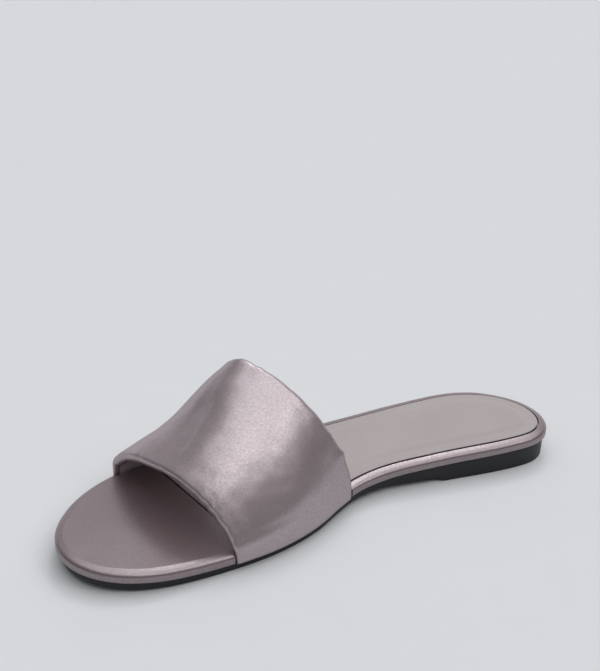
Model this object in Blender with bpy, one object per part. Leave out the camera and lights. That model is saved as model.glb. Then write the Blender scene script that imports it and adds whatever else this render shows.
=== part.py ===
"""Slide sandal for a right foot: outsole with a low heel, wrapped footbed, sock and padded band.

The toe points to -Y, the medial side is +X and the ground is z = 0. All sizes are in metres.
"""

import math

import bmesh
import bpy
import numpy as np

# Driving sizes of the sole
LENGTH = 0.250
BALL_WIDTH = 0.087
SOLE_THICKNESS = 0.0039
HEEL_HEIGHT = 0.0109
HEEL_LENGTH = 0.0645
BREAST_RUN = 0.0055
WAIST_LIFT = 0.0036
TOE_SPRING = 0.0036
SOLE_INSET = 0.0013
SOLE_DRAFT = 0.0003
SOLE_ROUND = 0.0006

# Driving sizes of the footbed and of the sock that lies in it
FOOTBED_THICKNESS = 0.0050
RIM_WIDTH = 0.0042
RIM_ROUND = 0.0021
FOOTBED_ROUND = 0.0005
FOOTBED_CROWN = 0.0004
SOCK_RECESS = 0.0012
SOCK_THICKNESS = 0.0012
SOCK_PAD_RISE = 0.0008
SOCK_PAD_SLOPE = 0.0044
SOCK_BORDER = 0.0050
SOCK_CROWN = 0.0003
SOCK_ROUND = 0.0002

# Driving sizes of the band
PAD_THICKNESS = 0.0050
LEG_THICKNESS = 0.0024
LEG_PROUD = 0.0011
PAD_GROW_HEIGHT = 0.0140
TUCK_HEIGHT = 0.0100
CROWN_HEIGHT_FRONT = 0.0360
CROWN_HEIGHT_REAR = 0.0702
PUFF = 0.0012
CORNER_DRAW = 0.0010
CORNER_HEIGHT = 0.0160

# Shallow waist of the band's lateral half behind its flared front edge: depth in metres, and where
# it lies as places of sweep and run
NECK_DEPTH = 0.0045
NECK_SWEEPS = (0.20, -0.15, -0.62, -0.87)
NECK_RUN = 0.40
NECK_REACH = 0.36

# Gap between pieces that meet
GAP = 0.0003
LEG_GAP = 0.00045
LEG_END_GAP = 0.0006

# Outline: share of length from the heel, centre line and fullness as shares of the ball width
OUTLINE = (
    # share, centre, fullness
    (0.00, 0.078, 0.690),
    (0.04, 0.055, 0.630),
    (0.12, 0.004, 0.511),
    (0.20, -0.025, 0.418),
    (0.30, -0.053, 0.349),
    (0.40, -0.076, 0.322),
    (0.45, -0.074, 0.333),
    (0.50, -0.055, 0.369),
    (0.55, -0.031, 0.420),
    (0.60, -0.018, 0.467),
    (0.65, -0.013, 0.509),
    (0.70, -0.011, 0.545),
    (0.75, -0.006, 0.579),
    (0.80, 0.004, 0.613),
    (0.85, 0.023, 0.645),
    (0.90, 0.047, 0.673),
    (0.95, 0.073, 0.694),
    (1.00, 0.098, 0.708),
)

# Rise of the sole's top: share of length, share of the heel's rise, share of the toe spring
SOLE_TOP = (
    # share, heel rise, toe spring
    (0.00, 1.00, 0.00),
    (0.12, 0.96, 0.00),
    (0.20, 0.91, 0.00),
    (0.30, 0.78, 0.00),
    (0.40, 0.54, 0.00),
    (0.50, 0.22, 0.00),
    (0.56, 0.07, 0.00),
    (0.62, 0.00, 0.00),
    (0.76, 0.00, 0.00),
    (0.84, 0.00, 0.16),
    (0.92, 0.00, 0.52),
    (1.00, 0.00, 1.00),
)

# Underside of the waist: share of the run from breast to ball, share of the waist's lift
WAIST_ARCH = (
    # run, lift
    (0.00, 0.72),
    (0.15, 0.88),
    (0.33, 1.00),
    (0.50, 0.90),
    (0.68, 0.58),
    (0.84, 0.20),
    (1.00, 0.00),
)
BALL_START_SHARE = 0.55

# Band, front edge and rear edge: places along as shares of length, the crown's place across as a
# share of the ball width, the roundness of each half arch, bulges as shares of the padding
BAND_EDGES = (
    # medial foot, lateral foot, bow, crown, medial power, lateral power, medial bulge, lateral bulge
    (0.729, 0.850, 0.031, 0.115, 1.83, 1.90, 0.10, 1.50),
    (0.467, 0.631, 0.058, -0.160, 2.00, 1.74, 0.20, 0.00),
)

# Front end of the sock as shares of length
SOCK_FRONT_MEDIAL = 0.704
SOCK_FRONT_LATERAL = 0.773

# Fineness of the faceted surfaces
OUTLINE_STATIONS = 56
CAP_COLUMNS = 5
BAND_SWEEPS = 30
BAND_RUNS = 11
EDGE_STEPS = 3
RIM_STEPS = 4

MEDIAL = 1.0
LATERAL = -1.0

SATIN = ("satin", (0.27, 0.21, 0.22, 1.0), 0.45, 0.0)
LEATHER = ("leather", (0.41, 0.36, 0.36, 1.0), 0.55, 0.0)
BLACK_RUBBER = ("black rubber", (0.020, 0.020, 0.023, 1.0), 0.5, 0.0)


def smooth_step(value):
    """Ease from 0 to 1 with level ends."""
    value = np.clip(value, 0.0, 1.0)
    return value * value * (3.0 - 2.0 * value)


def table_curve(table, column, place):
    """Smooth curve through one column of a table, level or sloped by its neighbours."""
    xs = np.array([row[0] for row in table])
    ys = np.array([row[column] for row in table])
    slopes = np.gradient(ys, xs)
    place = np.clip(place, xs[0], xs[-1])
    i = np.clip(np.searchsorted(xs, place) - 1, 0, len(xs) - 2)
    width = xs[i + 1] - xs[i]
    t = (place - xs[i]) / width
    start = (1 + 2 * t) * (1 - t) ** 2 * ys[i] + t * (1 - t) ** 2 * width * slopes[i]
    end = t * t * (3 - 2 * t) * ys[i + 1] - t * t * (1 - t) * width * slopes[i + 1]
    return start + end


def share_at(angle):
    """Share of length for an angle that runs from 0 at the heel to pi at the toe."""
    return (1.0 - np.cos(angle)) / 2.0


def angle_at(share):
    """Angle that belongs to a share of length."""
    return np.arccos(1.0 - 2.0 * np.clip(share, 0.0, 1.0))


def outline_point(angle, side):
    """Point of the footbed's outline, whose ends are round because the width follows a sine."""
    share = share_at(angle)
    centre = BALL_WIDTH * table_curve(OUTLINE, 1, share)
    half = BALL_WIDTH * table_curve(OUTLINE, 2, share) * np.sin(angle)
    return centre + side * half, LENGTH * (0.5 - share)


def inset_point(angle, side, inset):
    """Point of the outline moved inward, square to the outline."""
    step = 1e-4
    x, y = outline_point(angle, side)
    ahead = outline_point(angle + step, side)
    behind = outline_point(angle - step, side)
    dx = ahead[0] - behind[0]
    dy = ahead[1] - behind[1]
    size = np.hypot(dx, dy)
    return x + side * inset * dy / size, y - side * inset * dx / size


def share_of(y):
    """Share of length from the heel at a place along Y."""
    return 0.5 - y / LENGTH


def sole_top(y):
    """Height of the outsole's top."""
    share = share_of(y)
    rise = (HEEL_HEIGHT - SOLE_THICKNESS) * table_curve(SOLE_TOP, 1, share)
    return SOLE_THICKNESS + rise + TOE_SPRING * table_curve(SOLE_TOP, 2, share)


def sole_bottom(y):
    """Height of the outsole's underside: flat heel and ball, raised waist and toe."""
    share = share_of(y)
    heel_end = HEEL_LENGTH / LENGTH
    waist_start = (HEEL_LENGTH + BREAST_RUN) / LENGTH
    breast = smooth_step((share - heel_end) / (waist_start - heel_end))
    run = (share - waist_start) / (BALL_START_SHARE - waist_start)
    waist = WAIST_LIFT * breast * table_curve(WAIST_ARCH, 1, run)
    return waist + TOE_SPRING * table_curve(SOLE_TOP, 2, share)


def footbed_top(y):
    """Height of the footbed's rim."""
    return sole_top(y) + GAP + FOOTBED_THICKNESS


def stations(extra):
    """Angles of the cross lines, fine at both ends, with the places that need a line of their own."""
    even = np.linspace(0.0, math.pi, OUTLINE_STATIONS + 1)
    marks = angle_at(np.array(sorted(extra)))
    near = 0.25 * math.pi / OUTLINE_STATIONS
    kept = [a for a in even if a in (0.0, even[-1]) or np.min(np.abs(marks - a), initial=1.0) > near]
    return np.array(sorted(kept + list(marks)))


def new_object(name, points, faces, material, collection):
    """Mesh object with its faces turned outward."""
    mesh = bpy.data.meshes.new(name)
    mesh.from_pydata([tuple(map(float, p)) for p in points], [], faces)
    edit = bmesh.new()
    edit.from_mesh(mesh)
    bmesh.ops.recalc_face_normals(edit, faces=edit.faces)
    edit.to_mesh(mesh)
    edit.free()
    obj = bpy.data.objects.new(name, mesh)
    collection.objects.link(obj)
    if material:
        mesh.materials.append(material)
    mesh.shade_smooth()
    mesh.set_sharp_from_angle(angle=math.radians(38))
    return obj


def new_material(name, colour, roughness, metallic):
    """Plain finish of a piece."""
    material = bpy.data.materials.new(name)
    material.use_nodes = True
    shader = material.node_tree.nodes["Principled BSDF"]
    shader.inputs["Base Color"].default_value = colour
    shader.inputs["Roughness"].default_value = roughness
    shader.inputs["Metallic"].default_value = metallic
    return material


def cross_points(medial, lateral, columns):
    """Points between the two ends of a cross line."""
    shares = [(k + 1) / (columns + 1) for k in range(columns)]
    return [tuple(np.array(medial) * (1 - s) + np.array(lateral) * s) for s in shares], shares


def loft(rings, cap_heights):
    """Closed body from rings of medial and lateral edge points.

    A ring is a pair of equally long lists. Where both sides meet in one point, at the heel
    and maybe at the toe, that point is shared. A ring that ends in a straight front is
    closed there by the points of its last cross line. cap_heights gives the height of the
    lowest and the highest face at a share of the way across and a place along Y.
    """
    points = []
    index = {}

    def add(key, point):
        if key not in index:
            index[key] = len(points)
            points.append(point)
        return index[key]

    count = len(rings[0][0])
    straight_front = math.dist(rings[0][0][-1], rings[0][1][-1]) > 1e-6
    ring_rows = []
    for level, (medial, lateral) in enumerate(rings):
        rows = []
        for i in range(count):
            pinched = i == 0 or (i == count - 1 and not straight_front)
            first = add((level, "m", i), medial[i])
            last = first if pinched else add((level, "l", i), lateral[i])
            rows.append((first, last))
        ring_rows.append(rows)

    faces = []

    def inner(level, i):
        medial, lateral = rings[level]
        places, shares = cross_points(medial[i], lateral[i], CAP_COLUMNS)
        cap = cap_heights[0] if level == 0 else cap_heights[1]
        found = []
        for k, (x, y, z) in enumerate(places):
            on_cap = level in (0, len(rings) - 1)
            height = z + (cap(shares[k]) if on_cap else 0.0)
            found.append(add((level, "c", i, k), (x, y, height)))
        return found

    for level in (0, len(rings) - 1):
        rows = ring_rows[level]
        lines = []
        for i in range(count):
            pinched = rows[i][0] == rows[i][1]
            lines.append([rows[i][0]] if pinched else [rows[i][0]] + inner(level, i) + [rows[i][1]])
        for a, b in zip(lines, lines[1:]):
            if len(a) == 1:
                faces += [(a[0], b[k], b[k + 1]) for k in range(len(b) - 1)]
            elif len(b) == 1:
                faces += [(a[k], b[0], a[k + 1]) for k in range(len(a) - 1)]
            else:
                faces += [(a[k], b[k], b[k + 1], a[k + 1]) for k in range(len(a) - 1)]

    for level in range(len(rings) - 1):
        low, high = ring_rows[level], ring_rows[level + 1]
        for i in range(count - 1):
            for side in (0, 1):
                quad = (low[i][side], low[i + 1][side], high[i + 1][side], high[i][side])
                faces.append(quad)
        if straight_front:
            a = [low[-1][0]] + inner(level, count - 1) + [low[-1][1]]
            b = [high[-1][0]] + inner(level + 1, count - 1) + [high[-1][1]]
            faces += [(a[k], a[k + 1], b[k + 1], b[k]) for k in range(len(a) - 1)]
    return points, faces


def outline_ring(angles, inset_of, height_of):
    """Ring along the outline with its own inset and height."""
    sides = []
    for side in (MEDIAL, LATERAL):
        line = []
        for angle in angles:
            x, y = inset_point(angle, side, inset_of(angle, side))
            line.append((x, y, height_of(y)))
        sides.append(line)
    return sides


def level_cap(share):
    """Cap that is straight across."""
    return 0.0 * share


def crowned_cap(rise):
    """Cap that rises to the middle."""
    return lambda share: rise * 4.0 * share * (1.0 - share)


def make_outsole(material, collection):
    """Moulded unit with a thin forefoot and waist and a low heel block."""
    heel_end = HEEL_LENGTH / LENGTH
    breast = BREAST_RUN / LENGTH
    extra = [heel_end, heel_end + breast / 3, heel_end + 2 * breast / 3, heel_end + breast]
    angles = stations(extra)
    layers = (
        (SOLE_INSET + SOLE_DRAFT + SOLE_ROUND, lambda y: sole_bottom(y)),
        (SOLE_INSET + SOLE_DRAFT, lambda y: sole_bottom(y) + SOLE_ROUND),
        (SOLE_INSET, lambda y: sole_top(y) - SOLE_ROUND),
        (SOLE_INSET + SOLE_ROUND, lambda y: sole_top(y)),
    )
    rings = [outline_ring(angles, lambda a, s, d=inset: d, height) for inset, height in layers]
    points, faces = loft(rings, (level_cap, level_cap))
    return new_object("outsole", points, faces, material, collection)


def leg_span(side):
    """Shares of length between which a leg of the band stands beside the footbed."""
    column = 0 if side == MEDIAL else 1
    margin = LEG_END_GAP / LENGTH
    return BAND_EDGES[1][column] - margin, BAND_EDGES[0][column] + margin


def leg_recess(angle, side):
    """Depth of the footbed's side recess for a leg of the band."""
    start, end = leg_span(side)
    depth = LEG_THICKNESS + LEG_GAP - LEG_PROUD
    return depth if start < share_at(angle) < end else 0.0


def make_footbed(material, collection, cutters):
    """Wrapped board with a rolled rim, recessed for the band's legs and for the sock."""
    hair = 0.0002 / LENGTH
    extra = []
    for side in (MEDIAL, LATERAL):
        for place in leg_span(side):
            extra += [place - hair, place + hair]
    angles = stations(extra)
    profile = [(FOOTBED_ROUND, 0.0), (0.0, FOOTBED_ROUND)]
    for step in range(RIM_STEPS + 1):
        turn = math.pi / 2.0 * step / RIM_STEPS
        rise = FOOTBED_THICKNESS - RIM_ROUND * (1.0 - math.sin(turn))
        profile.append(((RIM_WIDTH - GAP) * (1.0 - math.cos(turn)), rise))
    rings = []
    for inset, rise in profile:
        def inset_of(angle, side, inset=inset):
            recess = leg_recess(angle, side)
            return recess + inset * (1.0 - recess / RIM_WIDTH)
        rings.append(outline_ring(angles, inset_of, lambda y, rise=rise: sole_top(y) + GAP + rise))
    points, faces = loft(rings, (level_cap, crowned_cap(FOOTBED_CROWN)))
    footbed = new_object("footbed", points, faces, material, collection)

    floor = -SOCK_RECESS
    above = FOOTBED_THICKNESS
    rings = [sock_ring(-GAP, rise) for rise in (floor, above)]
    points, faces = loft(rings, (level_cap, level_cap))
    cutter = new_object("sock_recess", points, faces, None, cutters)
    cutter.display_type = "WIRE"
    cutter.hide_render = True
    cut = footbed.modifiers.new("sock recess", "BOOLEAN")
    cut.operation = "DIFFERENCE"
    cut.solver = "EXACT"
    cut.object = cutter
    return footbed


def sock_ring(inset, rise):
    """Ring of the sock: round at the heel, cut straight and slanted at the front."""
    sides = []
    for side, end in ((MEDIAL, SOCK_FRONT_MEDIAL), (LATERAL, SOCK_FRONT_LATERAL)):
        last = angle_at(end - inset / LENGTH)
        line = []
        for step in range(OUTLINE_STATIONS + 1):
            angle = last * step / OUTLINE_STATIONS
            x, y = inset_point(angle, side, RIM_WIDTH + inset)
            line.append((x, y, footbed_top(y) + rise))
        sides.append(line)
    return sides


def make_sock(material, collection):
    """Leather pad with a thin border and a raised middle."""
    low = GAP - SOCK_RECESS
    top = low + SOCK_THICKNESS
    layers = (
        (0.0, low),
        (0.0, top - SOCK_ROUND),
        (SOCK_ROUND, top),
        (SOCK_BORDER - SOCK_ROUND, top),
        (SOCK_BORDER, top - SOCK_ROUND),
        (SOCK_BORDER + SOCK_PAD_SLOPE / 3, top + SOCK_PAD_RISE * 0.6),
        (SOCK_BORDER + SOCK_PAD_SLOPE, top + SOCK_PAD_RISE),
    )
    rings = [sock_ring(inset, rise) for inset, rise in layers]
    points, faces = loft(rings, (level_cap, crowned_cap(SOCK_CROWN)))
    return new_object("sock", points, faces, material, collection)


def band_place(column, run):
    """Value of a band column between the front edge, run 0, and the rear edge, run 1."""
    front, rear = BAND_EDGES
    return front[column] * (1.0 - run) + rear[column] * run


def arch_point(run, sweep):
    """Outer face of the band: sweep 1 is the medial foot, 0 the crown and -1 the lateral foot."""
    medial_share = band_place(0, run)
    lateral_share = band_place(1, run)
    medial_edge = outline_point(angle_at(medial_share), MEDIAL)[0]
    lateral_edge = outline_point(angle_at(lateral_share), LATERAL)[0]
    medial_x = medial_edge + PAD_THICKNESS * band_place(6, run)
    lateral_x = lateral_edge - PAD_THICKNESS * band_place(7, run)
    crown_x = BALL_WIDTH * band_place(3, run)
    crown_z = CROWN_HEIGHT_FRONT * (1.0 - run) + CROWN_HEIGHT_REAR * run

    medial = sweep > 0
    power = band_place(4 if medial else 5, run)
    foot_x = medial_x if medial else lateral_x
    foot_share = medial_share if medial else lateral_share
    foot_y = LENGTH * (0.5 - foot_share)
    foot_z = sole_top(foot_y) + GAP
    turn = (1.0 - abs(sweep)) * math.pi / 2.0
    x = crown_x + (foot_x - crown_x) * max(math.cos(turn), 0.0) ** (2.0 / power)
    z = foot_z + (crown_z - foot_z) * math.sin(turn) ** (2.0 / power)

    across = (medial_x - x) / (medial_x - lateral_x)
    bow = band_place(2, run) * 4.0 * across * (1.0 - across)
    share = medial_share + (lateral_share - medial_share) * across + bow
    edge = lateral_edge - LEG_PROUD
    if medial:
        drawn = CORNER_DRAW / LENGTH * run ** 2 * (1.0 - smooth_step((z - foot_z) / CORNER_HEIGHT))
        share += drawn
        edge = outline_point(angle_at(medial_share + drawn), MEDIAL)[0] + LEG_PROUD
    y = LENGTH * (0.5 - share)

    tuck = 1.0 - smooth_step((z - footbed_top(foot_y)) / TUCK_HEIGHT)
    return np.array((x + (edge - x) * tuck, y, z))


def band_normal(run, sweep):
    """Outward direction of the band's outer face."""
    step = 1e-3
    low_run, high_run = max(run - step, 0.0), min(run + step, 1.0)
    low, high = max(sweep - step, -1.0), min(sweep + step, 1.0)
    along = arch_point(high_run, sweep) - arch_point(low_run, sweep)
    around = arch_point(run, high) - arch_point(run, low)
    normal = np.cross(around, along)
    if abs(sweep) > 1.0 - step:
        normal[2] = 0.0
    return normal / np.linalg.norm(normal)


def neck_fall(run, sweep):
    """How far the band's lateral half draws in behind its flared front edge."""
    first, full, last, end = NECK_SWEEPS
    across = smooth_step((first - sweep) / (first - full)) * smooth_step((sweep - end) / (last - end))
    return NECK_DEPTH * across * math.exp(-(((run - NECK_RUN) / NECK_REACH) ** 2))


def band_section(sweep):
    """Closed section of the padded wall at one sweep: outer face to the rear, inner face back."""
    length = np.linalg.norm(arch_point(1.0, sweep) - arch_point(0.0, sweep))
    middle = arch_point(0.5, sweep)
    grow = smooth_step((middle[2] - footbed_top(middle[1])) / PAD_GROW_HEIGHT)
    thickness = LEG_THICKNESS + (PAD_THICKNESS - LEG_THICKNESS) * grow
    roll = thickness / 2.0
    places = [roll * (1.0 - math.cos(math.pi / 2 * k / EDGE_STEPS)) for k in range(EDGE_STEPS)]
    runs = [p / length for p in places]
    runs += list(np.linspace(roll / length, 1.0 - roll / length, BAND_RUNS))
    runs += [1.0 - p / length for p in reversed(places)]
    outer, inner = [], []
    for run in runs:
        edge = min(run, 1.0 - run) * length
        fall = 1.0 - min(edge / roll, 1.0)
        shape = math.sqrt(max(1.0 - fall * fall, 0.0))
        point, normal = arch_point(run, sweep), band_normal(run, sweep)
        puff = PUFF * grow * math.sin(math.pi * run)
        point = point - normal * neck_fall(run, sweep) * grow
        outer.append(point + normal * (puff - roll * (1.0 - shape)))
        inner.append(point - normal * (thickness - roll * (1.0 - shape)))
    return outer, inner[1:-1]


def make_band(material, collection):
    """Padded band: rounded sections swept from the medial foot over the crown to the lateral foot."""
    points, faces, loops = [], [], []
    for step in range(BAND_SWEEPS + 1):
        sweep = 1.0 - 2.0 * step / BAND_SWEEPS
        outer, inner = band_section(sweep)
        start = len(points)
        points += outer + inner
        front = list(range(start, start + len(outer)))
        back = list(range(start + len(outer), start + len(outer) + len(inner)))
        loops.append((front, [front[0]] + back + [front[-1]]))
    for (outer_a, inner_a), (outer_b, inner_b) in zip(loops, loops[1:]):
        for k in range(len(outer_a) - 1):
            faces.append((outer_a[k], outer_a[k + 1], outer_b[k + 1], outer_b[k]))
            faces.append((inner_a[k], inner_b[k], inner_b[k + 1], inner_a[k + 1]))
    for outer, inner in (loops[0], loops[-1]):
        for k in range(len(outer) - 1):
            corners = (outer[k], outer[k + 1], inner[k + 1], inner[k])
            faces.append(tuple(dict.fromkeys(corners)))
    return new_object("band", points, faces, material, collection)


def centre_on_ground(objects):
    """Move all pieces so that the middle of their box stands over the origin."""
    corners = np.array([v.co for obj in objects for v in obj.data.vertices])
    low, high = corners.min(axis=0), corners.max(axis=0)
    shift = np.array(((low[0] + high[0]) / 2, (low[1] + high[1]) / 2, low[2]))
    moved = list(objects) + [cut.object for obj in objects for cut in obj.modifiers]
    for obj in moved:
        for vertex in obj.data.vertices:
            vertex.co -= type(vertex.co)(shift)


def main():
    """Build the slide sandal."""
    for obj in list(bpy.data.objects):
        bpy.data.objects.remove(obj, do_unlink=True)
    collection = bpy.data.collections.new("slide sandal")
    cutters = bpy.data.collections.new("cutters")
    bpy.context.scene.collection.children.link(collection)
    bpy.context.scene.collection.children.link(cutters)
    satin = new_material(*SATIN)
    leather = new_material(*LEATHER)
    rubber = new_material(*BLACK_RUBBER)
    pieces = [
        make_outsole(rubber, collection),
        make_footbed(satin, collection, cutters),
        make_sock(leather, collection),
        make_band(satin, collection),
    ]
    centre_on_ground(pieces)


main()
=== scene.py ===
"""Dresses a slide sandal: padded satin band, satin wrapped footbed, leather sock and black outsole.

The toe points to -Y, the medial side of this right shoe is +X and the ground is z = 0. All sizes
are in metres.
"""

import math

import bmesh
import bpy
import numpy as np
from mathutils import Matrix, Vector, noise


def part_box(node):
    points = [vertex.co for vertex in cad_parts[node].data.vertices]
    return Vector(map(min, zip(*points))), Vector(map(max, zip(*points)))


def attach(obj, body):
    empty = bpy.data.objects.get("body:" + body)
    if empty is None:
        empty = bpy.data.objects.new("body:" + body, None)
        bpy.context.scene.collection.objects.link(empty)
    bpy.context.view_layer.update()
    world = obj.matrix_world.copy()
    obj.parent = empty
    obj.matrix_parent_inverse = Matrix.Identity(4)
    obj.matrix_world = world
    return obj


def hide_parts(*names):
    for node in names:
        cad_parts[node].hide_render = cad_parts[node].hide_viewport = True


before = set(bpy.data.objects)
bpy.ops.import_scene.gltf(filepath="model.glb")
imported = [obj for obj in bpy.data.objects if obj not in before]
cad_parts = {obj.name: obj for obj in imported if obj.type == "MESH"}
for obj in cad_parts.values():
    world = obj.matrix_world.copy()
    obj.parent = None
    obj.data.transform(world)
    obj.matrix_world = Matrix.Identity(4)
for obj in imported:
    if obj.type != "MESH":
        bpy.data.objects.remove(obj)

bl_info = {
    "name": "Slide sandal",
    "version": (1, 0, 0),
    "blender": (4, 5, 0),
    "location": "3D View > Sidebar > Slide sandal",
    "description": "Builds a padded satin slide sandal and the stage that it stands on",
    "category": "Object",
}

BODY = "root"
MEDIAL = 1.0
LATERAL = -1.0

# Sizes of the last and of the pieces as the frame has them
LENGTH = 0.250
BALL_WIDTH = 0.087
SOLE_THICKNESS = 0.0039
HEEL_HEIGHT = 0.0109
HEEL_LENGTH = 0.0645
BREAST_RUN = 0.0055
WAIST_LIFT = 0.0036
TOE_SPRING = 0.0036
BALL_START_SHARE = 0.55
SOLE_INSET = 0.0013
SOLE_DRAFT = 0.0003
FOOTBED_THICKNESS = 0.0050
RIM_WIDTH = 0.0042
RIM_EASE = 0.0006
RIM_STRIP = 0.0018
FAR_RIM_LIFT = 0.00038
FOOTBED_ROUND = 0.0005
FOOTBED_CROWN = 0.0004
SOCK_RECESS = 0.0012
SOCK_CROWN = 0.0003
PAD_THICKNESS = 0.0050
LEG_THICKNESS = 0.0024
LEG_PROUD = 0.0011
PAD_GROW_HEIGHT = 0.0140
TUCK_HEIGHT = 0.0100
MEDIAL_TUCK_HEIGHT = 0.0070
CROWN_HEIGHT_FRONT = 0.0360
CROWN_HEIGHT_REAR = 0.0702
CORNER_DRAW = 0.0010
CORNER_HEIGHT = 0.0160
NECK_DEPTH = 0.0045
NECK_START = 0.20
NECK_RUN = 0.40
NECK_REACH = 0.36
GAP = 0.0003
LEG_GAP = 0.00045
LEG_END_GAP = 0.0006
SOCK_FRONT_MEDIAL = 0.704
SOCK_FRONT_LATERAL = 0.773

# Fades and shares of the soft shapes, with widths and depths in metres
END_FADE = 0.14
LEG_DRAW_SHARE = 0.7
LEG_CUT_HALF_WIDTH = 0.0002
FAR_SIDE_START = 0.012
FAR_SIDE_FADE = 0.012
NECK_FADE = 0.35
NECK_END = 0.62
NECK_END_FADE = 0.25
FOLD_END_FADE = 0.18
FOLD_END_DEPTH = 0.25
PILLOW_POWER = 0.7
PINCH_SHARE = 0.55
FOOT_ROUND_SHARE = 0.45
SOCK_EDGE_ROUND = 0.0003
SOCK_UNEVENNESS = 0.00006
TREAD_HEEL_FADE = 0.02
TREAD_BALL_START = 0.55
TREAD_BALL_END = 0.88
TREAD_BALL_FADE = 0.03
TREAD_GROOVE = 0.25
TREAD_SLOPE = 0.50

# Length of the slight waves of the satin and the leather, in metres
RIM_WAVE = 0.0085
RIM_FINE_WAVE = 0.0035
FOOTBED_WAVE = 0.011
SOCK_WAVE = 0.017
BAND_WAVE = 0.014
BAND_FINE_WAVE = 0.006

# Outline: share of length from the heel, centre line and fullness as shares of the ball width
OUTLINE = (
    # share, centre, fullness
    (0.00, 0.078, 0.690),
    (0.04, 0.055, 0.630),
    (0.12, 0.004, 0.511),
    (0.20, -0.025, 0.418),
    (0.30, -0.053, 0.349),
    (0.40, -0.076, 0.322),
    (0.45, -0.074, 0.333),
    (0.50, -0.055, 0.369),
    (0.55, -0.031, 0.420),
    (0.60, -0.018, 0.467),
    (0.65, -0.013, 0.509),
    (0.70, -0.011, 0.545),
    (0.75, -0.006, 0.579),
    (0.80, 0.004, 0.613),
    (0.85, 0.023, 0.645),
    (0.90, 0.047, 0.673),
    (0.95, 0.073, 0.694),
    (1.00, 0.098, 0.708),
)

# Rise of the sole's top: share of length, share of the heel's rise, share of the toe spring
SOLE_TOP = (
    # share, heel rise, toe spring
    (0.00, 1.00, 0.00),
    (0.12, 0.96, 0.00),
    (0.20, 0.91, 0.00),
    (0.30, 0.78, 0.00),
    (0.40, 0.54, 0.00),
    (0.50, 0.22, 0.00),
    (0.56, 0.07, 0.00),
    (0.62, 0.00, 0.00),
    (0.76, 0.00, 0.00),
    (0.84, 0.00, 0.16),
    (0.92, 0.00, 0.52),
    (1.00, 0.00, 1.00),
)

# Underside of the waist: share of the run from breast to ball, share of the waist's lift
WAIST_ARCH = (
    # run, lift
    (0.00, 0.72),
    (0.15, 0.88),
    (0.33, 1.00),
    (0.50, 0.90),
    (0.68, 0.58),
    (0.84, 0.20),
    (1.00, 0.00),
)

# Band, front edge and rear edge: feet as shares of length, bow, the crown's place across as a share
# of the ball width, the roundness of each half arch, bulges as shares of the padding
MEDIAL_FOOT, LATERAL_FOOT, BOW, CROWN = range(4)
MEDIAL_POWER, LATERAL_POWER, MEDIAL_BULGE, LATERAL_BULGE = range(4, 8)
BAND_EDGES = np.array((
    # medial, lateral foot, bow, crown, medial, lateral power, medial, lateral bulge
    (0.729, 0.850, 0.031, 0.115, 1.79, 1.90, 0.36, 1.50),
    (0.467, 0.631, 0.058, -0.160, 2.00, 1.74, 0.20, 0.00),
))

# Soft folds of the band. The path goes through places of run, 0 at the front edge and 1 at the rear
# edge, and sweep, 1 at the medial foot, 0 at the crown and -1 at the lateral foot. Width and depth
# are in metres, and a negative depth is a ridge.
FOLDS = (
    # path, half width, depth
    (((1.00, 0.765), (0.77, 0.72), (0.50, 0.68), (0.28, 0.69), (0.12, 0.72)), 0.0080, 0.0004),
    (((1.00, 0.44), (0.60, 0.41), (0.30, 0.42), (0.00, 0.46)), 0.0125, -0.0008),
    (((1.00, 0.18), (0.65, 0.12), (0.30, 0.08), (0.00, 0.04)), 0.0105, 0.0004),
    (((0.95, -0.30), (0.50, -0.34), (0.05, -0.42)), 0.0110, -0.0006),
    (((0.98, -0.62), (0.55, -0.66), (0.10, -0.62)), 0.0070, 0.0008),
)

# Puckers at the band's edges: edge run, sweep, half width in metres, depth as a share
PUCKERS = (
    # edge, sweep, half width, depth
    (1.0, 0.755, 0.0026, -2.20),
    (1.0, 0.600, 0.0026, 0.60),
    (1.0, 0.470, 0.0030, 0.45),
    (1.0, 0.345, 0.0026, 0.35),
    (1.0, 0.200, 0.0024, 0.60),
    (1.0, 0.105, 0.0022, 0.90),
    (1.0, -0.080, 0.0028, 0.40),
    (1.0, -0.300, 0.0024, 0.60),
    (1.0, -0.520, 0.0026, 0.50),
    (1.0, -0.730, 0.0020, 1.00),
    (0.0, 0.660, 0.0022, 0.55),
    (0.0, 0.520, 0.0020, 0.75),
    (0.0, 0.430, 0.0018, 0.80),
    (0.0, 0.320, 0.0018, 0.60),
    (0.0, 0.150, 0.0024, 0.35),
    (0.0, -0.060, 0.0026, 0.40),
    (0.0, -0.270, 0.0022, 0.50),
    (0.0, -0.470, 0.0020, 0.55),
    (0.0, -0.680, 0.0022, 0.70),
)

# Soft lights in degrees: azimuth, elevation and spread, and their share of the key's strength
KEY_LIGHTS = (
    ((71.0, 58.0, 32.0), 0.24),
    ((97.0, 42.0, 24.0), 0.08),
    ((133.0, 41.0, 26.0), 0.30),
    ((231.0, 52.0, 15.0), 0.32),
)
TOP_LIGHT = (180.0, 78.0, 76.0)
KEY_COLOUR = (1.0, 0.985, 0.98)
TOP_COLOUR = (0.99, 0.99, 1.0)

# Pale backdrop beyond the sandal, in degrees: azimuth and elevation of its middle. It spreads
# between two cosines of the angle from there, and fades between two heights, given as sines.
BACKDROP_GLOW = (244.0, 6.0)
GLOW_SPREAD = (0.25, 0.85)
GLOW_HEIGHTS = (0.18, 0.42)
GLOW_ABOVE = 0.15

# Bump of the satins and of the plainer materials, with distances in metres
SATIN_BUMP = 0.14
SATIN_BUMP_DISTANCE = 0.0003
PLAIN_BUMP_DISTANCE = 0.0002

# Scales of the grain's textures
SPARKLE_SCALE = 1500.0
THREAD_SCALE = 5200.0
CLOUD_SCALE = 60.0
PEBBLE_SCALE = 1700.0
CREASE_SCALE = 420.0
TONE_SCALE = 38.0

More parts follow.
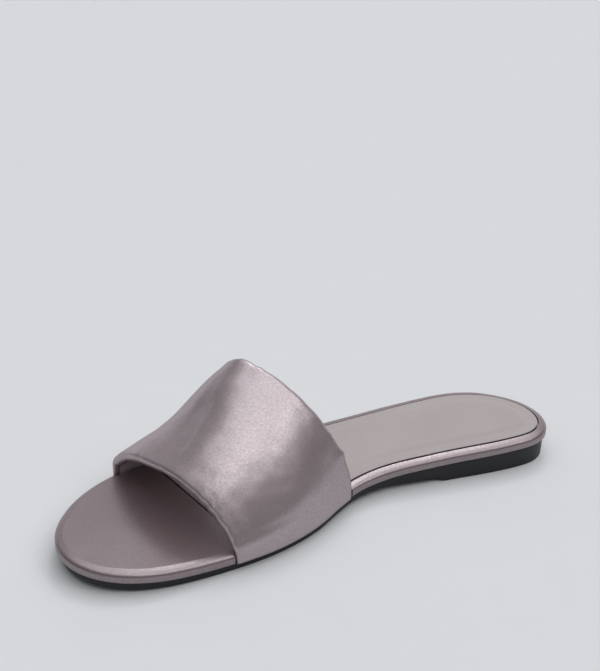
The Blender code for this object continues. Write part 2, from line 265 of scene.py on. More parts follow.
# Fineness of the meshes
OUTLINE_STATIONS = 320
CAP_COLUMNS = 26
BAND_SWEEPS = 300
BAND_RUNS = 76
EDGE_STEPS = 9
FOLD_SAMPLES = 60
ROUND_STEPS = 4
RIM_STEPS = 6
RIM_ROUND_STEPS = 10
WALL_STEPS = 4
BREAST_STEPS = 8
BORDER_STEPS = 5
SLOPE_STEPS = 12
FLOOR_SEGMENTS = 24
SHARP_ANGLE = math.radians(44.0)
CAMERA_CLIP = (0.01, 50.0)


def smooth_step(value):
    """Ease from 0 to 1 with level ends."""
    value = np.clip(value, 0.0, 1.0)
    return value * value * (3.0 - 2.0 * value)


def table_curve(table, column, place):
    """Smooth curve through one column of a table, sloped by its neighbours."""
    xs = np.array([row[0] for row in table])
    ys = np.array([row[column] for row in table])
    slopes = np.gradient(ys, xs)
    place = np.clip(place, xs[0], xs[-1])
    i = np.clip(np.searchsorted(xs, place) - 1, 0, len(xs) - 2)
    width = xs[i + 1] - xs[i]
    t = (place - xs[i]) / width
    start = (1 + 2 * t) * (1 - t) ** 2 * ys[i] + t * (1 - t) ** 2 * width * slopes[i]
    end = t * t * (3 - 2 * t) * ys[i + 1] - t * t * (1 - t) * width * slopes[i + 1]
    return start + end


def share_at(angle):
    """Share of length for an angle that runs from 0 at the heel to pi at the toe."""
    return (1.0 - np.cos(angle)) / 2.0


def angle_at(share):
    """Angle that belongs to a share of length."""
    return np.arccos(1.0 - 2.0 * np.clip(share, 0.0, 1.0))


def outline_point(angle, side):
    """Point of the footbed's outline, before the last is centred."""
    share = share_at(angle)
    centre = BALL_WIDTH * table_curve(OUTLINE, 1, share)
    half = BALL_WIDTH * table_curve(OUTLINE, 2, share) * np.sin(angle)
    return centre + side * half, LENGTH * (0.5 - share)


def end_fade(y):
    """Fade that keeps the swell of a face away from the round ends."""
    share = share_of(y)
    return smooth_step(share / END_FADE) * smooth_step((1.0 - share) / END_FADE)


def inset_point(angle, side, inset):
    """Point of the outline moved inward, square to the outline."""
    step = 1e-4
    x, y = outline_point(angle, side)
    ahead = outline_point(angle + step, side)
    behind = outline_point(angle - step, side)
    dx = ahead[0] - behind[0]
    dy = ahead[1] - behind[1]
    size = np.hypot(dx, dy)
    return x + side * inset * dy / size, y - side * inset * dx / size


def share_of(y):
    """Share of length from the heel at a place along Y."""
    return 0.5 - y / LENGTH


def sole_top(y):
    """Height of the outsole's top."""
    share = share_of(y)
    rise = (HEEL_HEIGHT - SOLE_THICKNESS) * table_curve(SOLE_TOP, 1, share)
    return SOLE_THICKNESS + rise + TOE_SPRING * table_curve(SOLE_TOP, 2, share)


def sole_bottom(y):
    """Height of the outsole's underside: flat heel and ball, raised waist and toe."""
    share = share_of(y)
    heel_end = HEEL_LENGTH / LENGTH
    waist_start = (HEEL_LENGTH + BREAST_RUN) / LENGTH
    breast = smooth_step((share - heel_end) / (waist_start - heel_end))
    run = (share - waist_start) / (BALL_START_SHARE - waist_start)
    waist = WAIST_LIFT * breast * table_curve(WAIST_ARCH, 1, run)
    return waist + TOE_SPRING * table_curve(SOLE_TOP, 2, share)


def footbed_top(y):
    """Height of the footbed's rim."""
    return sole_top(y) + GAP + FOOTBED_THICKNESS


def centring_shift():
    """Distance along X from the last's own centre line to the frame's."""
    angles = np.linspace(0.0, math.pi, OUTLINE_STATIONS + 1)
    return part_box("footbed")[1].x - outline_point(angles, MEDIAL)[0].max()


def unevenness(x, y, z, size):
    """Even, repeatable unevenness between -1 and 1 with bumps of about the given size."""
    return noise.noise(Vector((x / size, y / size, z / size)))


def stations(extra):
    """Angles of the cross lines, with the places that need a line of their own."""
    even = np.linspace(0.0, math.pi, OUTLINE_STATIONS + 1)
    marks = angle_at(np.array(sorted(extra)))
    near = 0.25 * math.pi / OUTLINE_STATIONS
    ends = (0.0, even[-1])
    kept = [a for a in even if a in ends or np.min(np.abs(marks - a), initial=1.0) > near]
    return np.array(sorted(kept + list(marks)))


def new_piece(name, points, faces, materials, face_materials=None):
    """Smooth mesh piece in the frame's place, with its faces turned outward."""
    points = np.array(points, float) + (centring_shift(), 0.0, 0.0)
    mesh = bpy.data.meshes.new(name)
    mesh.from_pydata([tuple(p) for p in points.tolist()], [], faces)
    for material in materials:
        mesh.materials.append(material)
    if face_materials is not None:
        mesh.polygons.foreach_set("material_index", np.array(face_materials, np.int32))
    edit = bmesh.new()
    edit.from_mesh(mesh)
    bmesh.ops.recalc_face_normals(edit, faces=edit.faces)
    edit.to_mesh(mesh)
    edit.free()
    piece = bpy.data.objects.new(name, mesh)
    bpy.context.scene.collection.objects.link(piece)
    smooth(mesh)
    return piece


def smooth(mesh):
    """Smooth shading, but for the sharp corners."""
    mesh.shade_smooth()
    mesh.set_sharp_from_angle(angle=SHARP_ANGLE)


def flat_cap(share, x, y):
    """End face without relief."""
    return 0.0


def dress(piece, node):
    """Let a piece stand for its node of the frame: attach it to the body and hide the frame's part.
    """
    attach(piece, BODY)
    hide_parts(node)


def loft(rings, caps):
    """Closed body from rings of medial and lateral edge points, with relief on both end faces."""
    points = []
    index = {}
    count = len(rings[0][0])
    last = len(rings) - 1
    straight_front = math.dist(rings[0][0][-1], rings[0][1][-1]) > 1e-6
    shares = [(k + 1) / (CAP_COLUMNS + 1) for k in range(CAP_COLUMNS)]

    def add(key, point):
        if key not in index:
            index[key] = len(points)
            points.append(point)
        return index[key]

    def pinched(i):
        return i == 0 or (i == count - 1 and not straight_front)

    def edge_ends(level, i):
        medial, lateral = rings[level]
        first = add((level, "m", i), medial[i])
        return first, first if pinched(i) else add((level, "l", i), lateral[i])

    def cross_line(level, i):
        first, second = edge_ends(level, i)
        if first == second:
            return [first]
        start = np.array(rings[level][0][i])
        end = np.array(rings[level][1][i])
        cap = {0: caps[0], last: caps[1]}.get(level)
        line = [first]
        for k, share in enumerate(shares):
            x, y, z = start * (1.0 - share) + end * share
            height = z + (cap(share, x, y) if cap else 0.0)
            line.append(add((level, "c", i, k), (x, y, height)))
        return line + [second]

    faces = []
    for level in (0, last):
        lines = [cross_line(level, i) for i in range(count)]
        for a, b in zip(lines, lines[1:]):
            if len(a) == 1:
                faces += [(a[0], b[k], b[k + 1]) for k in range(len(b) - 1)]
            elif len(b) == 1:
                faces += [(a[k], b[0], a[k + 1]) for k in range(len(a) - 1)]
            else:
                faces += [(a[k], b[k], b[k + 1], a[k + 1]) for k in range(len(a) - 1)]
    for level in range(last):
        low = [edge_ends(level, i) for i in range(count)]
        high = [edge_ends(level + 1, i) for i in range(count)]
        for i in range(count - 1):
            for side in (0, 1):
                faces.append((low[i][side], low[i + 1][side], high[i + 1][side], high[i][side]))
        if straight_front:
            a = cross_line(level, count - 1)
            b = cross_line(level + 1, count - 1)
            faces += [(a[k], a[k + 1], b[k + 1], b[k]) for k in range(len(a) - 1)]
    return points, faces


def outline_ring(angles, inset_of, height_of):
    """Ring along the outline with its own inset and height."""
    sides = []
    for side in (MEDIAL, LATERAL):
        inset = np.array([inset_of(a, side) for a in angles])
        x, y = inset_point(angles, side, inset)
        sides.append(list(zip(x.tolist(), y.tolist(), height_of(x, y).tolist())))
    return sides


def quarter_round(radius, steps, rising):
    """Insets and falls of a quarter round between a wall and a level face."""
    turns = [math.pi / 2 * k / steps for k in range(steps + 1)]
    pairs = [(radius * (1.0 - math.sin(t)), radius * (1.0 - math.cos(t))) for t in turns]
    return pairs if rising else pairs[::-1]


def rib_height(y, sizes):
    """Tread rib at a place along Y: under the heel and the ball, not under the waist and toe."""
    place = share_of(y)
    on_heel = 1.0 - smooth_step((place - HEEL_LENGTH / LENGTH + TREAD_HEEL_FADE) / TREAD_HEEL_FADE)
    on_ball = smooth_step((place - TREAD_BALL_START) / TREAD_BALL_FADE)
    on_ball = on_ball * (1.0 - smooth_step((place - TREAD_BALL_END) / TREAD_BALL_FADE))
    wave = 0.5 + 0.5 * math.cos(2.0 * math.pi * y / sizes.tread_pitch)
    rib = float(smooth_step((wave - TREAD_GROOVE) / TREAD_SLOPE))
    return sizes.tread_depth * rib * float(max(on_heel, on_ball))


def make_outsole(sizes, colours):
    """Moulded unit with a thin forefoot and waist, a low heel block and a fine tread."""
    heel_end = HEEL_LENGTH / LENGTH
    breast = BREAST_RUN / LENGTH
    angles = stations([heel_end + breast * k / BREAST_STEPS for k in range(BREAST_STEPS + 1)])
    base = SOLE_INSET + SOLE_DRAFT
    margin = base + sizes.tread_margin

    def over_bottom(rise):
        return lambda x, y: sole_bottom(y) + rise

    def over_top(rise):
        return lambda x, y: sole_top(y) + rise

    def between(share):
        return lambda x, y: sole_bottom(y) * (1.0 - share) + sole_top(y) * share

    depth = sizes.tread_depth
    layers = [(margin + depth, over_bottom(depth)), (margin, over_bottom(0.0))]
    for inset, fall in quarter_round(sizes.sole_round, ROUND_STEPS, True):
        layers.append((base + inset, over_bottom(fall)))
    for k in range(1, WALL_STEPS):
        layers.append((SOLE_INSET + SOLE_DRAFT * (1.0 - k / WALL_STEPS), between(k / WALL_STEPS)))
    for inset, fall in quarter_round(sizes.sole_round, ROUND_STEPS, False):
        layers.append((SOLE_INSET + inset, over_top(-fall)))
    rings = [outline_ring(angles, lambda a, s, d=inset: d, height) for inset, height in layers]
    points, faces = loft(rings, (lambda share, x, y: -rib_height(y, sizes), flat_cap))
    return new_piece("outsole_unit", points, faces, [outsole_rubber(colours)])


def leg_span(side):
    """Shares of length between which a leg of the band stands beside the footbed."""
    column = MEDIAL_FOOT if side == MEDIAL else LATERAL_FOOT
    drawn = LEG_DRAW_SHARE * CORNER_DRAW / LENGTH if side == MEDIAL else 0.0
    margin = LEG_END_GAP / LENGTH
    return BAND_EDGES[1][column] + drawn - margin, BAND_EDGES[0][column] + margin


def leg_recess(angle, side):
    """Depth of the footbed's side recess for a leg of the band."""
    start, end = leg_span(side)
    return LEG_THICKNESS + LEG_GAP - LEG_PROUD if start < share_at(angle) < end else 0.0


def rim_profile(reach, slant, round_from):
    """Insets and falls of the rim: a slanting strip next to the sock, then a round edge."""
    tilts = [slant * k / RIM_STEPS for k in range(RIM_STEPS + 1)]
    lengths = [RIM_EASE / RIM_STEPS] * RIM_STEPS
    tilts += [slant + (round_from - slant) * k / RIM_STEPS for k in range(1, RIM_STEPS + 1)]
    lengths += [RIM_STRIP / RIM_STEPS] * RIM_STEPS
    inset, fall = reach, 0.0
    profile = [(inset, fall)]
    for k, length in enumerate(lengths):
        tilt = (tilts[k] + tilts[k + 1]) / 2.0
        inset -= length * math.cos(tilt)
        fall += length * math.sin(tilt)
        profile.append((inset, fall))
    radius = inset / (1.0 - math.sin(round_from))
    for k in range(1, RIM_ROUND_STEPS + 1):
        turn = round_from + (math.pi / 2.0 - round_from) * k / RIM_ROUND_STEPS
        across = radius * (math.sin(turn) - math.sin(round_from))
        down = radius * (math.cos(round_from) - math.cos(turn))
        profile.append((max(inset - across, 0.0), fall + down))
    return profile[::-1]


def make_footbed(sizes, colours):
    """Wrapped board with a rolled rim, recessed for the band's legs and for the sock."""
    hair = LEG_CUT_HALF_WIDTH / LENGTH
    extra = []
    for side in (MEDIAL, LATERAL):
        for place in leg_span(side):
            extra += [place - hair, place + hair]
    angles = stations(extra)
    rim = rim_profile(RIM_WIDTH - GAP, sizes.rim_slant, sizes.rim_turn)
    wall_top = FOOTBED_THICKNESS - rim[0][1]
    wall = wall_top - FOOTBED_ROUND
    profile = quarter_round(FOOTBED_ROUND, ROUND_STEPS - 1, True)
    profile += [(0.0, FOOTBED_ROUND + wall * k / WALL_STEPS) for k in range(1, WALL_STEPS)]
    profile += [(inset, FOOTBED_THICKNESS - fall) for inset, fall in rim]

    def inset_along(inset, rise):
        def at(angle, side):
            recess = leg_recess(angle, side)
            x, y = outline_point(angle, side)
            pull = sizes.rim_waviness * unevenness(x, y, rise, RIM_WAVE)
            pull += sizes.rim_waviness * 0.5 * unevenness(x, y, rise, RIM_FINE_WAVE)
            return recess + inset * (1.0 - recess / RIM_WIDTH) + (0.0 if recess else abs(pull))
        return at

    def height_along(rise):
        def at(x, y):
            wave = [unevenness(a, b, 0.0, FOOTBED_WAVE) for a, b in zip(x, y)]
            far_side = smooth_step((-np.array(x) - FAR_SIDE_START) / FAR_SIDE_FADE)
            fallen = min((FOOTBED_THICKNESS - rise) / FAR_RIM_LIFT, 1.0)
            lift = sizes.rim_waviness * 0.5 * np.array(wave) + FAR_RIM_LIFT * fallen * far_side
            return sole_top(y) + GAP + rise + lift * min(rise / FOOTBED_THICKNESS, 1.0)
        return at

    rings = [outline_ring(angles, inset_along(*step), height_along(step[1])) for step in profile]

    def cushion(share, x, y):
        """Soft crown of the satin over the thin foam."""
        swell = FOOTBED_CROWN * (4.0 * share * (1.0 - share)) ** 2 * end_fade(y)
        return swell + sizes.rim_waviness * 0.5 * unevenness(x, y, 0.0, FOOTBED_WAVE)

    points, faces = loft(rings, (flat_cap, cushion))
    footbed = new_piece("footbed_wrap", points, faces, [footbed_satin(colours)])
    cut_recess(footbed)
    return footbed


def cut_recess(footbed):
    """Cut the sock's recess into the footbed."""
    rings = [sock_ring(-GAP, rise) for rise in (-SOCK_RECESS, FOOTBED_THICKNESS)]
    points, faces = loft(rings, (flat_cap, flat_cap))
    cutter = new_piece("sock_recess", points, faces, [])
    cut = footbed.modifiers.new("sock recess", "BOOLEAN")
    cut.operation = "DIFFERENCE"
    cut.solver = "EXACT"
    cut.object = cutter
    bpy.context.view_layer.update()
    evaluated = footbed.evaluated_get(bpy.context.evaluated_depsgraph_get())
    cut_mesh = bpy.data.meshes.new_from_object(evaluated)
    footbed.modifiers.clear()
    footbed.data = cut_mesh
    bpy.data.objects.remove(cutter)
    smooth(footbed.data)


def sock_ring(inset, rise):
    """Ring of the sock: round at the heel, cut straight and slanted at the front."""
    sides = []
    steps = np.linspace(0.0, 1.0, OUTLINE_STATIONS + 1)
    for side, end in ((MEDIAL, SOCK_FRONT_MEDIAL), (LATERAL, SOCK_FRONT_LATERAL)):
        angles = angle_at(end - inset / LENGTH) * steps
        x, y = inset_point(angles, side, RIM_WIDTH + inset)
        sides.append(list(zip(x.tolist(), y.tolist(), (footbed_top(y) + rise).tolist())))
    return sides


def make_sock(sizes, colours):
    """Leather pad with a thin border and a raised middle."""
    low = GAP - SOCK_RECESS
    top = low + sizes.sock_thickness
    border = sizes.sock_border
    layers = [(sizes.sock_seam, low)]
    for inset, fall in quarter_round(SOCK_EDGE_ROUND, ROUND_STEPS, False):
        layers.append((sizes.sock_seam + inset, top - fall))
    start = sizes.sock_seam + SOCK_EDGE_ROUND
    for k in range(1, BORDER_STEPS + 1):
        layers.append((start + (border - start) * k / BORDER_STEPS, top))
    for k in range(1, SLOPE_STEPS + 1):
        rise = sizes.sock_rise * smooth_step(k / SLOPE_STEPS)
        layers.append((border + sizes.sock_slope * k / SLOPE_STEPS, top + rise))
    rings = [sock_ring(inset, rise) for inset, rise in layers]

    def cushion(share, x, y):
        """Gentle crown with the slight unevenness of thin leather on foam."""
        swell = SOCK_CROWN * 4.0 * share * (1.0 - share) * end_fade(y)
        uneven = SOCK_UNEVENNESS * unevenness(x, y, 0.0, SOCK_WAVE)
        return swell + uneven * 4.0 * share * (1.0 - share)

    points, faces = loft(rings, (flat_cap, cushion))
    heights = np.array(points)[:, 2] - footbed_top(np.array(points)[:, 1])
    # Faces below the rounded top edge form the sock's edge wall. They take the dark edge material,
    # which is the cut edge's colour plus painted shade of the gap beside the rim.
    dark_edge_below = top - SOCK_EDGE_ROUND * 1.5
    cut = [int(min(heights[i] for i in face) < dark_edge_below) for face in faces]
    materials = [sock_leather(colours), sock_edge_and_gap_shade(colours)]
    sock = new_piece("sock_pad", points, faces, materials, cut)
    return sock


def band_place(column, run):
    """Value of a band column between the front edge, run 0, and the rear edge, run 1."""
    return BAND_EDGES[0][column] * (1.0 - run) + BAND_EDGES[1][column] * run


def arch_points(run, sweep):
    """Outer face of the band for arrays of run and sweep."""
    run, sweep = np.broadcast_arrays(np.asarray(run, float), np.asarray(sweep, float))
    medial_share = band_place(MEDIAL_FOOT, run)
    lateral_share = band_place(LATERAL_FOOT, run)
    medial_edge = outline_point(angle_at(medial_share), MEDIAL)[0]
    lateral_edge = outline_point(angle_at(lateral_share), LATERAL)[0]
    medial_x = medial_edge + PAD_THICKNESS * band_place(MEDIAL_BULGE, run)
    lateral_x = lateral_edge - PAD_THICKNESS * band_place(LATERAL_BULGE, run)
    crown_x = BALL_WIDTH * band_place(CROWN, run)
    crown_z = CROWN_HEIGHT_FRONT * (1.0 - run) + CROWN_HEIGHT_REAR * run

    medial = sweep > 0
    power = np.where(medial, band_place(MEDIAL_POWER, run), band_place(LATERAL_POWER, run))
    foot_x = np.where(medial, medial_x, lateral_x)
    foot_y = LENGTH * (0.5 - np.where(medial, medial_share, lateral_share))
    foot_z = sole_top(foot_y) + GAP
    turn = (1.0 - np.abs(sweep)) * math.pi / 2.0
    x = crown_x + (foot_x - crown_x) * np.maximum(np.cos(turn), 0.0) ** (2.0 / power)
    z = foot_z + (crown_z - foot_z) * np.sin(turn) ** (2.0 / power)

    across = (medial_x - x) / (medial_x - lateral_x)
    bow = band_place(BOW, run) * 4.0 * across * (1.0 - across)
    corner = np.where(medial, 1.0 - smooth_step((z - foot_z) / CORNER_HEIGHT), 0.0)
    drawn = CORNER_DRAW / LENGTH * corner * run ** 2
    share = medial_share + (lateral_share - medial_share) * across + bow + drawn
    y = LENGTH * (0.5 - share)

    drawn_edge = outline_point(angle_at(medial_share + drawn), MEDIAL)[0]
    edge = np.where(medial, drawn_edge + LEG_PROUD, lateral_edge - LEG_PROUD)
    front_tuck = np.where(medial, MEDIAL_TUCK_HEIGHT, TUCK_HEIGHT)
    tuck_height = front_tuck + (TUCK_HEIGHT - front_tuck) * run
    tuck = 1.0 - smooth_step((z - footbed_top(foot_y)) / tuck_height)
    return np.stack((x + (edge - x) * tuck, y, z), axis=-1)


def band_normals(run, sweep):
    """Outward directions of the band's outer face."""
    step = 1e-3
    run, sweep = np.broadcast_arrays(np.asarray(run, float), np.asarray(sweep, float))
    along = arch_points(run + step, sweep) - arch_points(run - step, sweep)
    next_medial = arch_points(run, np.minimum(sweep + step, 1.0))
    next_lateral = arch_points(run, np.maximum(sweep - step, -1.0))
    normal = np.cross(next_medial - next_lateral, along)
    normal[..., 2] = np.where(np.abs(sweep) > 1.0 - step, 0.0, normal[..., 2])
    return normal / np.linalg.norm(normal, axis=-1, keepdims=True)


def path_on_band(path):
    """Points of a fold's path on the band, evenly spread over its places."""
    places = np.array(path)
    at = np.linspace(0.0, len(path) - 1.0, FOLD_SAMPLES)
    run = np.interp(at, range(len(path)), places[:, 0])
    sweep = np.interp(at, range(len(path)), places[:, 1])
    return arch_points(run, sweep)


def neck_relief(run, sweep):
    """Shallow waist of the lateral half behind the flared front edge, in metres."""
    across = smooth_step((NECK_START - sweep) / NECK_FADE)
    across = across * (1.0 - smooth_step((-sweep - NECK_END) / NECK_END_FADE))
    return -NECK_DEPTH * across * np.exp(-(((run - NECK_RUN) / NECK_REACH) ** 2))


def fold_relief(points, sizes):
    """Height of the soft folds at points of the band, in metres."""
    relief = np.zeros(points.shape[:-1])
    for path, half_width, depth in FOLDS:
        line = path_on_band(path)
        gaps = np.linalg.norm(points[..., None, :] - line, axis=-1)
        nearest = gaps.argmin(axis=-1)
        distance = gaps.min(axis=-1)
        along = nearest / (FOLD_SAMPLES - 1.0)
        fade = smooth_step(np.minimum(along, 1.0 - along) / FOLD_END_FADE + FOLD_END_DEPTH)
        relief -= sizes.fold_depth * depth * fade * np.exp(-((distance / half_width) ** 2))
    return relief


def edge_puckers(edge, sweeps):
    """How far each sweep's edge is drawn in by the puckers, as a share of their depth."""
    drawn = np.zeros(len(sweeps))
    place = arch_points(edge, sweeps)
    for pucker_edge, sweep, half_width, depth in PUCKERS:
        if pucker_edge == edge:
            centre = arch_points(edge, sweep)
            distance = np.linalg.norm(place - centre, axis=-1)
            drawn += depth * np.exp(-((distance / half_width) ** 2))
    return drawn


def edge_distances(length, roll):
    """Distances from the front edge across the band, closer together where its edges are rolled."""
    turns = [math.pi / 2 * k / EDGE_STEPS for k in range(EDGE_STEPS)]
    rolled = [roll * (1.0 - math.cos(turn)) for turn in turns]
    between = np.linspace(roll, length - roll, BAND_RUNS)
    return np.concatenate((rolled, between, [length - s for s in reversed(rolled)]))


def band_section(sweep, length, weight, front_draw, rear_draw, sizes):
    """Outer and inner points of the band along one sweep, with their distances from its edges."""
    thickness = LEG_THICKNESS + (PAD_THICKNESS - LEG_THICKNESS) * weight
    roll = thickness / 2.0
    edge = edge_distances(length, roll)
    from_edge = np.minimum(edge, length - edge)
    shape = np.sqrt(np.maximum(1.0 - (1.0 - np.minimum(from_edge / roll, 1.0)) ** 2, 0.0))
    start = sizes.pucker_depth * front_draw * weight
    end = length - sizes.pucker_depth * rear_draw * weight
    runs = (start + edge / length * (end - start)) / length
    outer = arch_points(runs, sweep)
    normal = band_normals(runs, sweep)

    pillow = np.sin(math.pi * np.clip(runs, 0.0, 1.0)) ** PILLOW_POWER
    relief = sizes.puff * weight * pillow
    relief += fold_relief(outer, sizes) * weight
    neck = neck_relief(runs, sweep) * weight
    near_front = np.exp(-edge / sizes.pucker_reach)
    near_rear = np.exp(-(length - edge) / sizes.pucker_reach)
    pinch = front_draw * near_front + rear_draw * near_rear
    relief -= sizes.pucker_depth * PINCH_SHARE * pinch * weight
    coarse = np.array([unevenness(*point, BAND_WAVE) for point in outer.tolist()])
    fine = np.array([unevenness(*point, BAND_FINE_WAVE) for point in outer.tolist()])
    relief += sizes.unevenness * (coarse + 0.5 * fine) * weight

    rise = outer[:, 2] - (sole_top(outer[:, 1]) + GAP)
    foot_round = np.clip(1.0 - rise / sizes.foot_round, 0.0, 1.0)
    relief -= sizes.foot_round * FOOT_ROUND_SHARE * (1.0 - np.sqrt(1.0 - foot_round ** 2))

    outside = outer + normal * (neck + relief * shape - roll * (1.0 - shape))[:, None]
    inside = outer - normal * (thickness - neck - roll * (1.0 - shape))[:, None]
    return outside, inside, from_edge


def make_band(sizes, colours):
    """Padded band with rolled edges, soft folds and puckers, lined with leather."""
    sweeps = np.linspace(1.0, -1.0, BAND_SWEEPS + 1)
    lengths = np.linalg.norm(arch_points(1.0, sweeps) - arch_points(0.0, sweeps), axis=-1)
    middle = arch_points(0.5, sweeps)
    weights = smooth_step((middle[:, 2] - footbed_top(middle[:, 1])) / PAD_GROW_HEIGHT)
    draws = (edge_puckers(0.0, sweeps), edge_puckers(1.0, sweeps))

    points, faces, kinds, loops = [], [], [], []
    for row in zip(sweeps, lengths, weights, *draws):
        outside, inside, from_edge = band_section(*row, sizes)
        first = len(points)
        count = len(outside)
        points += outside.tolist() + inside[1:-1].tolist()
        front = list(range(first, first + count))
        back = [front[0]] + list(range(first + count, first + 2 * count - 2)) + [front[-1]]
        loops.append((front, back, from_edge))

    for (outer_a, inner_a, depth), (outer_b, inner_b, _) in zip(loops, loops[1:]):
        for k in range(len(outer_a) - 1):
            faces.append((outer_a[k], outer_a[k + 1], outer_b[k + 1], outer_b[k]))
            kinds.append(0)
            faces.append((inner_a[k], inner_b[k], inner_b[k + 1], inner_a[k + 1]))
            kinds.append(1 if min(depth[k], depth[k + 1]) > sizes.lining_margin else 0)
    for outer, inner, _ in (loops[0], loops[-1]):
        for k in range(len(outer) - 1):
            corners = (outer[k], outer[k + 1], inner[k + 1], inner[k])
            faces.append(tuple(dict.fromkeys(corners)))
            kinds.append(0)
    materials = [band_satin(colours), lining_leather(colours)]
    band = new_piece("band_padded", points, faces, materials, kinds)
    return band


def grain_group(name, inputs, outputs):
    """Empty shader node group with named sockets; a tuple stands for a colour."""
    group = bpy.data.node_groups.new(name, "ShaderNodeTree")
    for label, value in inputs.items():
        kind = "NodeSocketColor" if isinstance(value, tuple) else "NodeSocketFloat"
        socket = group.interface.new_socket(label, in_out="INPUT", socket_type=kind)
        socket.default_value = value
    for label in outputs:
        kind = "NodeSocketColor" if label == "Colour" else "NodeSocketFloat"
        group.interface.new_socket(label, in_out="OUTPUT", socket_type=kind)
    return group


def put_out(group, into, shade, results):
    """Shade the group's colour and link it and the other results to the group's outputs."""
    tint = add_node(group, "ShaderNodeHueSaturation")
    group.links.new(into.outputs["Colour"], tint.inputs["Color"])
    group.links.new(shade, tint.inputs["Value"])
    out = group.nodes.new("NodeGroupOutput")
    group.links.new(tint.outputs["Color"], out.inputs["Colour"])
    for label, result in results.items():
        group.links.new(result, out.inputs[label])


def add_node(tree, kind, values=(), **settings):
    """Node with its settings and some of its inputs set."""
    node = tree.nodes.new(kind)
    for key, value in settings.items():
        setattr(node, key, value)
    for socket, value in dict(values).items():
        node.inputs[socket].default_value = value
    return node


def math_node(tree, operation, a, b):
    """Math node fed by two sockets or numbers; its result."""
    node = tree.nodes.new("ShaderNodeMath")
    node.operation = operation
    for socket, value in zip(node.inputs, (a, b)):
        if isinstance(value, bpy.types.NodeSocket):
            tree.links.new(value, socket)
        else:
            socket.default_value = value
    return node.outputs[0]


def noise_at(tree, place, scale, detail, roughness):
    """Noise at a place; its grey value."""
    node = add_node(tree, "ShaderNodeTexNoise", {"Detail": detail, "Roughness": roughness})
    tree.links.new(place, node.inputs["Vector"])
    if isinstance(scale, bpy.types.NodeSocket):
        tree.links.new(scale, node.inputs["Scale"])
    else:
        node.inputs["Scale"].default_value = scale
    return node.outputs["Fac"]


def satin_grain_group():
    """Grain of heavy satin: sparkle of the floats, fine threads and a slow cloudiness."""
    name = "satin_grain"
    if name in bpy.data.node_groups:
        return bpy.data.node_groups[name]
    inputs = {"Colour": (0.3, 0.24, 0.26, 1.0), "Sparkle": 0.2, "Clouds": 0.1}
    inputs.update({"Gloss": 0.4, "Sheen": 0.8})
    group = grain_group(name, inputs, ("Colour", "Roughness", "Height", "Sheen"))
    into = group.nodes.new("NodeGroupInput")
    place = add_node(group, "ShaderNodeTexCoord").outputs["Object"]
    stretch = add_node(group, "ShaderNodeMapping", {"Scale": (1.0, 0.55, 1.0)})
    group.links.new(place, stretch.inputs["Vector"])
    sparkle = noise_at(group, stretch.outputs["Vector"], SPARKLE_SCALE, 2.0, 0.8)
    threads = noise_at(group, stretch.outputs["Vector"], THREAD_SCALE, 1.0, 0.5)
    clouds = noise_at(group, place, CLOUD_SCALE, 3.0, 0.55)
    centred = math_node(group, "SUBTRACT", sparkle, 0.5)
    slow = math_node(group, "SUBTRACT", clouds, 0.5)
    bright = math_node(group, "MULTIPLY", centred, into.outputs["Sparkle"])
    cloudy = math_node(group, "MULTIPLY", slow, into.outputs["Clouds"])
    shade = math_node(group, "ADD", math_node(group, "ADD", bright, cloudy), 1.0)
    strong = math_node(group, "MULTIPLY", bright, 3.0)
    glint = math_node(group, "MULTIPLY", strong, into.outputs["Sheen"])
    sheen = math_node(group, "ADD", glint, into.outputs["Sheen"])
    dull = math_node(group, "MULTIPLY", centred, -0.25)
    rough = math_node(group, "ADD", dull, into.outputs["Gloss"])
    height = math_node(group, "ADD", sparkle, math_node(group, "MULTIPLY", threads, 0.35))
    put_out(group, into, shade, {"Roughness": rough, "Height": height, "Sheen": sheen})
    return group


def leather_grain_group():
    """Grain of thin smooth leather: fine pebbles, pores and a slow change of tone."""
    name = "leather_grain"
    if name in bpy.data.node_groups:
        return bpy.data.node_groups[name]
    inputs = {"Colour": (0.4, 0.36, 0.36, 1.0), "Tone Change": 0.08, "Gloss": 0.55}
    group = grain_group(name, inputs, ("Colour", "Roughness", "Height"))
    into = group.nodes.new("NodeGroupInput")
    place = add_node(group, "ShaderNodeTexCoord").outputs["Object"]
    pebbles = add_node(group, "ShaderNodeTexVoronoi", {"Scale": PEBBLE_SCALE}, feature="SMOOTH_F1")
    group.links.new(place, pebbles.inputs["Vector"])
    creases = noise_at(group, place, CREASE_SCALE, 3.0, 0.6)
    tone = noise_at(group, place, TONE_SCALE, 3.0, 0.55)
    centred = math_node(group, "SUBTRACT", tone, 0.5)
    fine = math_node(group, "SUBTRACT", creases, 0.5)
    change = math_node(group, "ADD", centred, math_node(group, "MULTIPLY", fine, 0.35))
    toned = math_node(group, "MULTIPLY", change, into.outputs["Tone Change"])
    shade = math_node(group, "ADD", toned, 1.0)
    rough = math_node(group, "ADD", math_node(group, "MULTIPLY", fine, 0.2), into.outputs["Gloss"])
    folds = math_node(group, "MULTIPLY", creases, 0.6)
    height = math_node(group, "ADD", pebbles.outputs["Distance"], folds)
    put_out(group, into, shade, {"Roughness": rough, "Height": height})
    return group


